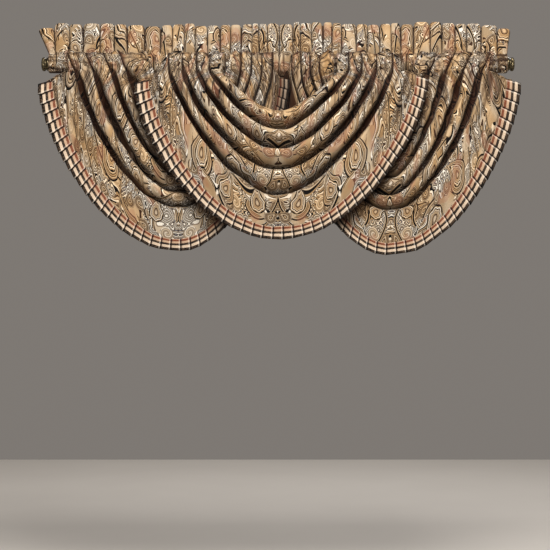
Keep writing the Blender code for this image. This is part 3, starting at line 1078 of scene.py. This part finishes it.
@dataclass
class Swag:
    """One swag with its hem and its pleated trim."""

    form: SwagForm
    cloth: Material
    reverse: Material
    ribbon: Material
    thickness: float = 0.0012
    columns: int = 150
    gather_columns: int = 18
    fold_rows: int = 24
    panel_rows: int = 30
    hem: float = 0.35
    pleat: float = 0.024
    tilt: float = 0.08
    bands: int = 7
    ribbon_width: float = 0.03
    ribbon_thickness: float = 0.0005
    # The third column of each step is the pleat's painted light: dark in the gap under the next pleat and
    # brightest on its raised end.
    steps: tuple[tuple[float, float, float], ...] = (
        (0.00, 0.30, 0.00), (0.08, 0.35, 0.00), (0.14, 0.65, 0.08), (0.20, 1.10, 0.75),
        (0.36, 1.80, 0.86), (0.62, 2.60, 0.86), (0.84, 3.30, 0.93), (0.97, 3.40, 1.0),
        (1.03, 2.90, 0.5), (1.03, 1.60, 0.0), (0.93, 0.80, 0.0),
    )

    def across_places(self) -> list[float]:
        """Return places across the swag, closer together towards the gathers."""
        steps = range(self.columns + 1)
        middle = [math.sin(math.pi / 2 * (2.0 * step / self.columns - 1.0)) for step in steps]
        rise = [step / self.gather_columns for step in range(1, self.gather_columns + 1)]
        return [-1.0 - step for step in reversed(rise)] + middle + [1.0 + step for step in rise]

    def down_places(self) -> list[float]:
        """Return places down the swag, in lines from the upper edge."""
        folds = self.form.folds
        places = [fold + step / self.fold_rows for fold in range(folds) for step in range(self.fold_rows)]
        span = 1.0 + self.hem
        steps = range(self.panel_rows + 1)
        return places + [folds + span * (step / self.panel_rows) ** 1.5 for step in steps]

    def build_cloth(self) -> Object:
        """Drape the swag's cloth and return it."""
        across = self.across_places()
        down = self.down_places()
        points = [[self.form.point(a, d) for a in across] for d in down]
        shade = [
            [self.form.open_shade(a, d, at) for a, at in zip(across, row)] for d, row in zip(down, points)
        ]
        rows = [[at * MM for at in row] for row in points]
        grid = ClothGrid(rows, shade, middle=len(across) // 2, seat=self.form.seat)
        name = f"draped_swag_{self.form.name}"
        piece = grid.build(name, self.thickness, [self.cloth, self.reverse])
        stand_in(piece, f"swag_{self.form.name}")
        flat = grid.flat_places()
        width = max(row[-1][0] - row[0][0] for row in flat)
        length = max(abs(flat[0][column][1] - self.form.seat) for column in range(len(flat[0])))
        width, length = round(width, 2), round(length, 2)
        return piece

    def lifted(self, across: float, down: float, height: float) -> Vector:
        """Return the point that stands a height in front of the cloth, in millimetres."""
        nudge = 0.002
        form = self.form
        aside = form.point(min(1.0, across + nudge), down) - form.point(max(-1.0, across - nudge), down)
        along = form.point(across, down + nudge) - form.point(across, down - nudge)
        normal = aside.cross(along).normalized()
        if normal.y > 0:
            normal.negate()
        return form.point(across, down) + normal * height

    def pleat_places(self) -> list[float]:
        """Return the places across the swag where the pleats start, and the last one's end."""
        hem = len(self.form.lines) - 1.5
        fine = 600
        samples = [2.0 * step / fine - 1.0 for step in range(fine + 1)]
        lengths = ClothGrid.run_from([self.form.point(a, hem) * MM for a in samples], 0)
        count = round(lengths[-1] / self.pleat)
        places = []
        for mark in range(count + 1):
            wanted = lengths[-1] * mark / count
            past = (i for i, length in enumerate(lengths) if length >= wanted)
            after = max(1, next(past, len(lengths) - 1))
            share = (wanted - lengths[after - 1]) / (lengths[after] - lengths[after - 1])
            places.append(mix(samples[after - 1], samples[after], share))
        return places

    def build_trim(self) -> Object:
        """Pleat the ribbon round the front of the hem and return it."""
        marks = self.pleat_places()
        inner = len(self.form.lines) - 2.0
        bands = [step / self.bands for step in range(self.bands + 1)]
        rows: list[list[Vector]] = [[] for _ in bands]
        shade: list[list[float]] = [[] for _ in bands]
        for index, (start, end) in enumerate(zip(marks, marks[1:])):
            middle = (start + end) / 2.0
            steep = -math.copysign(min(1.0, abs(middle) * 1.5), middle)
            tilt = self.tilt * (steep + 0.35 * wave(index * 1.7, self.form.seed, 0.0))
            corners = [
                [self.lifted(place, inner + band, 1.0) for band in (0.0, 1.0)] for place in (start, end)
            ]
            for along, height, light in self.steps:
                top = corners[0][0].lerp(corners[1][0], along)
                bottom = corners[0][1].lerp(corners[1][1], along)
                slope = tilt * (along - 0.5)
                for row, band in enumerate(bands):
                    place = top.lerp(bottom, band + slope)
                    sewn = mix(0.45, 1.0, ease(band * 1.6))
                    crown = 0.8 * math.sin(math.pi * band)
                    place.y -= height * sewn + crown
                    rows[row].append(place * MM)
                    # Painted shade of the pleat, with the other swags' painted shadows.
                    shade[row].append(light * self.form.cast_light(place))
        across = [band * StripedRibbon.width for band in bands]
        grid = ClothGrid(rows, shade, middle=0, cross_uv=across)
        name = f"pleated_trim_{self.form.name}"
        piece = grid.build(name, self.ribbon_thickness, [self.ribbon])
        stand_in(piece, f"trim_{self.form.name}")
        run = grid.flat_places()[0][-1][0]
        return piece

    def build(self) -> None:
        """Build the swag and its trim."""
        self.build_cloth()
        self.build_trim()


# --------------------------------------------------------------------------- header


@dataclass(frozen=True)
class HeaderPleat:
    """One pleat of the ruffle: its width on the rod and the height of its top, in millimetres."""

    width: float
    top: float


@dataclass
class Header:
    """The gathered rod pocket with its stand-up ruffle."""

    cloth: Material
    reverse: Material
    pleats: tuple[HeaderPleat, ...]
    half_length: float = 553.5
    left_flare: float = -25.0
    right_flare: float = 8.0
    pocket_radius: float = 18.4
    steps: int = 11
    thickness: float = 0.0012
    sag_depth: float = 14.0
    sag_x: float = 7.0
    sag_width: float = 17.0
    # Painted light of the ruffle's pleat faces.
    ruffle_light: float = 0.93
    front_heights: tuple[float, ...] = (-20.0, -17.0, -13.0, -8.5, -4.0, 1.0, 6.0, 11.0, 15.5, 19.5, 22.0)
    back_heights: tuple[float, ...] = (20.0, 15.0, 8.0, 0.5, -7.0, -13.0, -18.0, -20.5)
    ruffle_levels: tuple[float, ...] = (0.03, 0.07, 0.13, 0.22, 0.34, 0.5, 0.66, 0.8, 0.9, 0.96)

    def section(
        self, x: float, share: float, pleat: HeaderPleat, before: HeaderPleat, number: int
    ) -> list[Vector]:
        """Return the header's section at one station, from the pocket's seam up, over and down again.

        Args:
            x: The station along the rod.
            share: The place within the pleat, from 0 to 1.
            pleat: The pleat.
            before: The pleat before it.
            number: The pleat's number.

        Returns:
            The section's points in millimetres.
        """
        puff = (1.0 - abs(2.0 * share - 1.0) ** 3.2) ** 0.5
        lean = (abs(x) / self.half_length) ** 60 * (self.left_flare if x < 0 else self.right_flare)
        corner = max(0.0, 1.0 - abs(2.0 * share - 1.0) ** 5)
        top = mix(min(before.top, pleat.top) - 8.0, pleat.top, corner**0.6)
        rock = 4.5 * wave(number * 2.3, 0.0, 3.0)
        points = []
        for z in self.front_heights:
            points.append(Vector((x, -self.reach(z, 4.0) - self.pucker(x, z, 5.0), self.sagged(x, z))))
        stitch = wave(x * 0.25, 1.0, 0.0)
        height = stitch_height(x)
        points.append(Vector((x, -8.5 - 1.6 * stitch - 2.5 * puff, height)))
        front = []
        back = []
        for level in self.ruffle_levels:
            z = mix(height, top, level)
            swell = ease((level + 0.02) / 0.36) * mix(1.0, 0.62, level)
            fine = wave(x * 0.2, level * 1.5, 14.0) * mix(2.4, 0.5, ease(level * 1.6))
            long_wave = 2.0 * wave(x * 0.012, level, 22.0) * level
            aside = lean * level + rock * level
            base = mix(-8.5, -2.6, ease(level * 3.0))
            front.append(Vector((x + aside, base - 11.5 * puff * swell - fine - long_wave, z)))
            back.append(Vector((x + aside, 2.0 + mix(5.0, -2.0, puff) * swell - long_wave, z)))
        points += front
        deep = mix(front[-1].y, back[-1].y, 0.5)
        rounded = mix(height, top, 0.99)
        before_top, past_top = mix(front[-1].y, deep, 0.45), mix(back[-1].y, deep, 0.45)
        for y, z in ((before_top, rounded), (deep, top), (past_top, rounded)):
            points.append(Vector((x + lean + rock, y, z)))
        points += reversed(back)
        points.append(Vector((x, 2.6, height)))
        for z in self.back_heights:
            y = self.reach(z, 3.5) + 0.6 * self.pucker(x, z, 31.0)
            points.append(Vector((x, y, self.sagged(x, z))))
        points.append(points[0].copy() + Vector((0.0, 1.0, -0.6)))
        return points

    def reach(self, z: float, seam: float) -> float:
        """Return how far the smooth pocket reaches from the rod's axis, from a seam's reach at its ends."""
        bulge = 1.0 - ((z - 0.5) / 24.0) ** 2
        return mix(seam, self.pocket_radius, bulge**0.62)

    def sag(self, x: float) -> float:
        """Return how far the pocket's lower edge sags where the swags meet, as a share of its depth."""
        return math.exp(-(((x - self.sag_x) / self.sag_width) ** 2))

    def sagged(self, x: float, z: float) -> float:
        """Return the height of a point of the pocket with the sag of its lower edge."""
        return z - self.sag_depth * self.sag(x) * max(0.0, (-6.0 - z) / 14.0)

    def pucker(self, x: float, z: float, seed: float) -> float:
        """Return how far the gathered pocket stands out at a place on it, in millimetres."""
        near_stitch = ease((z + 22.0) / 44.0)
        broad = wave(x * 0.075, z * 0.012, seed)
        fine = wave(x * 0.19, z * 0.03, seed + 4.0)
        level = wave(x * 0.014, z * 0.3, seed + 8.0)
        end = ease((abs(x) - 485.0) / 30.0)
        gathers = (2.4 * broad + 1.7 * fine) * mix(0.7, 1.25, near_stitch)
        return mix(gathers, 2.6 * level + 0.6 * broad, end)

    def build(self) -> Object:
        """Gather the header and return it."""
        scale = 2.0 * self.half_length / sum(pleat.width for pleat in self.pleats)
        stations: list[list[Vector]] = []
        shades: list[list[float]] = []
        x = -self.half_length
        for number, pleat in enumerate(self.pleats):
            before = self.pleats[max(0, number - 1)]
            width = pleat.width * scale
            for step in range(self.steps):
                share = 0.5 - 0.5 * math.cos(math.pi * step / self.steps)
                section = self.section(x + share * width, share, pleat, before, number)
                stations.append(section)
                shades.append(self.shade(section, share))
            x += width
        last = self.pleats[-1]
        stations.append(self.section(self.half_length, 0.999, last, last, len(self.pleats) - 1))
        shades.append(self.shade(stations[-1], 0.999))
        count = len(stations[0])
        rows = [[station[index] * MM for station in stations] for index in range(count)]
        shade = [[column[index] for column in shades] for index in range(count)]
        grid = ClothGrid(rows, shade, middle=len(stations) // 2, front_rows=9, measured_row=17)
        piece = grid.build("gathered_header", self.thickness, [self.cloth, self.reverse])
        stand_in(piece, "header")
        flat = grid.flat_places()
        width = round(max(row[-1][0] - row[0][0] for row in flat), 2)
        return piece

    def shade(self, section: list[Vector], share: float) -> list[float]:
        """Return the painted shade of each point of a section, from 0 in shade to 1 fully lit."""
        # Painted shade in the slits between the ruffle's pleats.
        slit = ease(min(share, 1.0 - share) / 0.085)
        shades = []
        for point in section:
            level = (point.z - stitch_height(point.x)) / 60.0
            # Painted shade along the pinch at the stitches, darkest near the slits.
            crowded = mix(0.8, 0.1, ease(min(share, 1.0 - share) / 0.25))
            gathered = math.exp(-((level / 0.05) ** 2)) * crowded
            # Painted shade in the pocket's gathers, and dark crease lines painted at its ends.
            pucker = ease(0.56 + 0.5 * self.pucker(point.x, point.z, 5.0))
            end = ease((abs(point.x) - 500.0) / 20.0)
            slope = 0.5 if point.x > 0 else 0.06
            line = wave(point.x * 0.012, (point.z - slope * point.x) * 0.11, 41.0)
            pocket = mix(0.1, 1.0, pucker) * (1.0 - 0.9 * end * thin_line(line, 0.42))
            # Painted shadow in the hollow where the pocket sags between the swags.
            painted_sag_shadow = self.sag(point.x) * ease((-8.0 - point.z) / 10.0)
            wanted = pocket * (1.0 - 0.85 * painted_sag_shadow) if level < 0 else slit * self.ruffle_light
            shades.append(wanted * (1.0 - gathered))
        return shades


# --------------------------------------------------------------------------- rod


@dataclass
class Rod:
    """The round rod and its turned end caps, in millimetres."""

    metal: Material
    radius: float = 14.0
    half_length: float = 554.0
    profile: tuple[tuple[float, float], ...] = (
        (0.3, 0.0), (0.3, 15.6), (0.7, 16.3), (1.2, 16.5), (3.2, 16.5), (3.9, 16.2), (4.4, 15.2),
        (4.9, 14.2), (5.6, 13.8), (7.6, 13.8), (8.3, 14.2), (8.8, 15.3), (9.3, 16.2), (9.8, 16.5),
        (13.6, 16.5), (15.0, 16.0), (16.1, 14.8), (16.9, 13.0), (17.0, 11.5), (17.0, 0.0),
    )
    flutes: int = 36

    def build_rod(self) -> Object:
        """Turn the rod with its ends rounded."""
        bm = bmesh.new()
        turn = Matrix.Rotation(math.radians(90), 4, "Y")
        bmesh.ops.create_cone(
            bm, cap_ends=True, segments=64, radius1=self.radius * MM, radius2=self.radius * MM,
            depth=2 * self.half_length * MM, matrix=turn,
        )
        rims = [edge for edge in bm.edges if abs(edge.verts[0].co.x - edge.verts[1].co.x) < 1e-6]
        bmesh.ops.bevel(
            bm, geom=rims, offset=0.8 * MM, segments=3, profile=0.5, affect="EDGES", material=-1
        )
        return self.finish(bm, "round_rod", "rod")

    def build_cap(self, name: str, side: int) -> Object:
        """Turn one end cap, on side -1 or 1, and flute its outer ring."""
        bm = bmesh.new()
        start = self.half_length
        turned = [(side * (start + along) * MM, 0.0, radius * MM) for along, radius in self.profile]
        points = [bm.verts.new(station) for station in turned]
        edges = [bm.edges.new(pair) for pair in zip(points, points[1:])]
        bmesh.ops.spin(
            bm, geom=points + edges, cent=(0, 0, 0), axis=(1, 0, 0), angle=math.tau, steps=self.flutes * 4,
            use_merge=True, use_duplicate=False,
        )
        bmesh.ops.remove_doubles(bm, verts=bm.verts, dist=1e-6)
        for vert in bm.verts:
            along = abs(vert.co.x) / MM - self.half_length
            angle = math.atan2(vert.co.y, vert.co.z)
            if 9.0 < along < 14.5:
                cut = 1.0 - 0.05 * (0.5 + 0.5 * math.cos(self.flutes * angle))
                vert.co.y *= cut
                vert.co.z *= cut
        bmesh.ops.recalc_face_normals(bm, faces=bm.faces)
        return self.finish(bm, f"turned_{name}", name)

    def finish(self, bm: bmesh.types.BMesh, name: str, node: str) -> Object:
        """Make a piece of metal and let it stand for its CAD node."""
        mesh = mesh_of(name, bm)
        mesh.shade_smooth()
        mesh.set_sharp_from_angle(angle=math.radians(35))
        mesh.materials.append(self.metal)
        piece = object_of(name, mesh)
        stand_in(piece, node)
        LOG.info("%s built", name)
        return piece

    def build(self) -> None:
        """Build the rod and both caps."""
        self.build_rod()
        self.build_cap("cap_left", -1)
        self.build_cap("cap_right", 1)


# --------------------------------------------------------------------------- studio


@dataclass(frozen=True)
class Lamp:
    """A soft rectangular light."""

    name: str
    place: tuple[float, float, float]
    target: tuple[float, float, float]
    width: float
    height: float
    power: float
    colour: tuple[float, float, float]


@dataclass
class Studio:
    """The floor, the lights and the camera."""

    eye: tuple[float, float, float] = (-0.0072, -3.5, -0.51)
    frame_width: float = 1.32
    plane_y: float = -0.03
    floor_z: float = -1.34
    floor_reach: float = 3.0
    room_light: float = 0.36
    lamps: tuple[Lamp, ...] = (
        Lamp("key", (0.3, -1.9, 1.7), (0.0, 0.0, -0.2), 1.0, 0.7, 99.0, (1.0, 0.97, 0.94)),
        Lamp("fill", (-0.6, -2.8, 0.2), (0.0, 0.0, -0.2), 1.8, 1.8, 28.0, (1.0, 0.98, 0.97)),
        Lamp("back", (0.6, 2.4, 1.4), (0.0, 0.0, -0.2), 1.6, 1.2, 36.0, (0.97, 0.98, 1.0)),
    )

    def build_floor(self) -> None:
        """Lay the floor."""
        bm = bmesh.new()
        level = Matrix.Translation((0, 0, self.floor_z))
        bmesh.ops.create_grid(bm, x_segments=1, y_segments=1, size=self.floor_reach, matrix=level)
        mesh = mesh_of("floor", bm)
        mesh.materials.append(PaleFloor().dress())
        object_of("floor", mesh)

    def hang_lamp(self, lamp: Lamp) -> None:
        """Place one light."""
        data = bpy.data.lights.new(lamp.name, "AREA")
        data.shape = "RECTANGLE"
        data.size = lamp.width
        data.size_y = lamp.height
        data.energy = lamp.power
        data.color = lamp.colour
        light = object_of(lamp.name, data)
        light.location = lamp.place
        aim = Vector(lamp.target) - Vector(lamp.place)
        light.rotation_euler = aim.to_track_quat("-Z", "Y").to_euler()

    def set_camera(self) -> None:
        """Place the camera straight in front, below the rod."""
        data = bpy.data.cameras.new("camera")
        data.sensor_width = 36.0
        data.lens = data.sensor_width * (self.plane_y - self.eye[1]) / self.frame_width
        camera = object_of("camera", data)
        camera.location = self.eye
        camera.rotation_euler = (math.radians(90), 0.0, 0.0)
        bpy.context.scene.camera = camera

    def build(self) -> None:
        """Set up the whole studio."""
        self.build_floor()
        for lamp in self.lamps:
            self.hang_lamp(lamp)
        world = bpy.data.worlds.new("studio")
        world.use_nodes = True
        background = world.node_tree.nodes["Background"]
        background.inputs[0].default_value = srgb(200, 192, 184)
        background.inputs[1].default_value = self.room_light
        bpy.context.scene.world = world
        bpy.context.scene.view_settings.view_transform = "Standard"
        self.set_camera()


# --------------------------------------------------------------------------- sizes


CENTRE = SwagForm(
    name="centre", bottom_x=0, body_y=-62, left_y=-48, right_y=-48, run=45, depth=17, seed=0.4,
    lines=table(FoldLine, (
        (-132, 142, -20, -20, -119, 1.24),
        (-166, 171, -20, -20, -167, 1.28),
        (-197, 203, -20, -20, -212, 1.36),
        (-231, 238, -20, -20, -260, 1.42),
        (-264, 277, -20, -20, -320, 1.36),
        (-309, 330, -43, -36, -395, 1.52),
        (-344, 358, -52, -44, -424, 1.56),
    )),
)
LEFT = SwagForm(
    name="left", bottom_x=-240, body_y=-18, left_y=-16, right_y=-26, run=65, depth=14, seed=31.9,
    right_tight=0.8, left_shift=-20.0, cast=CastShade(-12, 0.0, -14, 0.4), behind=CENTRE, seat=0.19,
    lines=table(FoldLine, (
        (-298, -126, -20, -20, -187, 1.30),
        (-365, -88, -20, -20, -235, 1.32),
        (-403, -63, -20, -20, -274, 1.32),
        (-445, -38, -20, -20, -311, 1.42),
        (-490, -12, -20, -20, -348, 1.42),
        (-545, 4, -41, -38, -422, 1.50),
        (-578, 28, -51, -42, -450, 1.54),
    )),
)
RIGHT = SwagForm(
    name="right", bottom_x=270, body_y=-18, left_y=-9, right_y=-16, run=65, depth=14, seed=63.1,
    left_tight=0.8, right_shift=22.0, cast=CastShade(16, 0.27, 5, 0.02), behind=CENTRE, seat=-0.13,
    lines=table(FoldLine, (
        (134, 320, -20, -20, -192, 1.30),
        (98, 366, -20, -20, -240, 1.32),
        (76, 406, -20, -20, -279, 1.32),
        (54, 446, -20, -20, -317, 1.42),
        (32, 492, -20, -20, -354, 1.42),
        (12, 551, -24, -40, -432, 1.50),
        (-12, 585, -30, -50, -460, 1.54),
    )),
)
RUFFLE = table(HeaderPleat, (
    (16, 87), (35, 99), (32, 96), (41, 98), (35, 98),
    (31, 96), (42, 94), (38, 91), (28, 94), (29, 96),
    (27, 98), (31, 92), (30, 93), (25, 95), (25, 95),
    (26, 96), (17, 98), (21, 97), (29, 98), (33, 96),
    (18, 102), (28, 99), (27, 101), (21, 101), (23, 99),
    (36, 97), (28, 96), (29, 95), (28, 97), (23, 99),
    (30, 96), (41, 102), (28, 102), (32, 99), (28, 97),
    (35, 98), (39, 94), (24, 86),
))


def main() -> None:
    """Build the valance, its rod and the studio."""
    logging.basicConfig(level=logging.INFO, format="%(name)s: %(message)s")
    cloth = PaisleyCloth().dress()
    reverse = ClothReverse().dress()
    ribbon = StripedRibbon().dress()
    metal = AgedBrass().dress()
    Studio().build()
    Rod(metal).build()
    Header(cloth, reverse, RUFFLE).build()
    for form in (LEFT, RIGHT, CENTRE):
        Swag(form, cloth, reverse, ribbon).build()


if __name__ == "__main__":
    main()
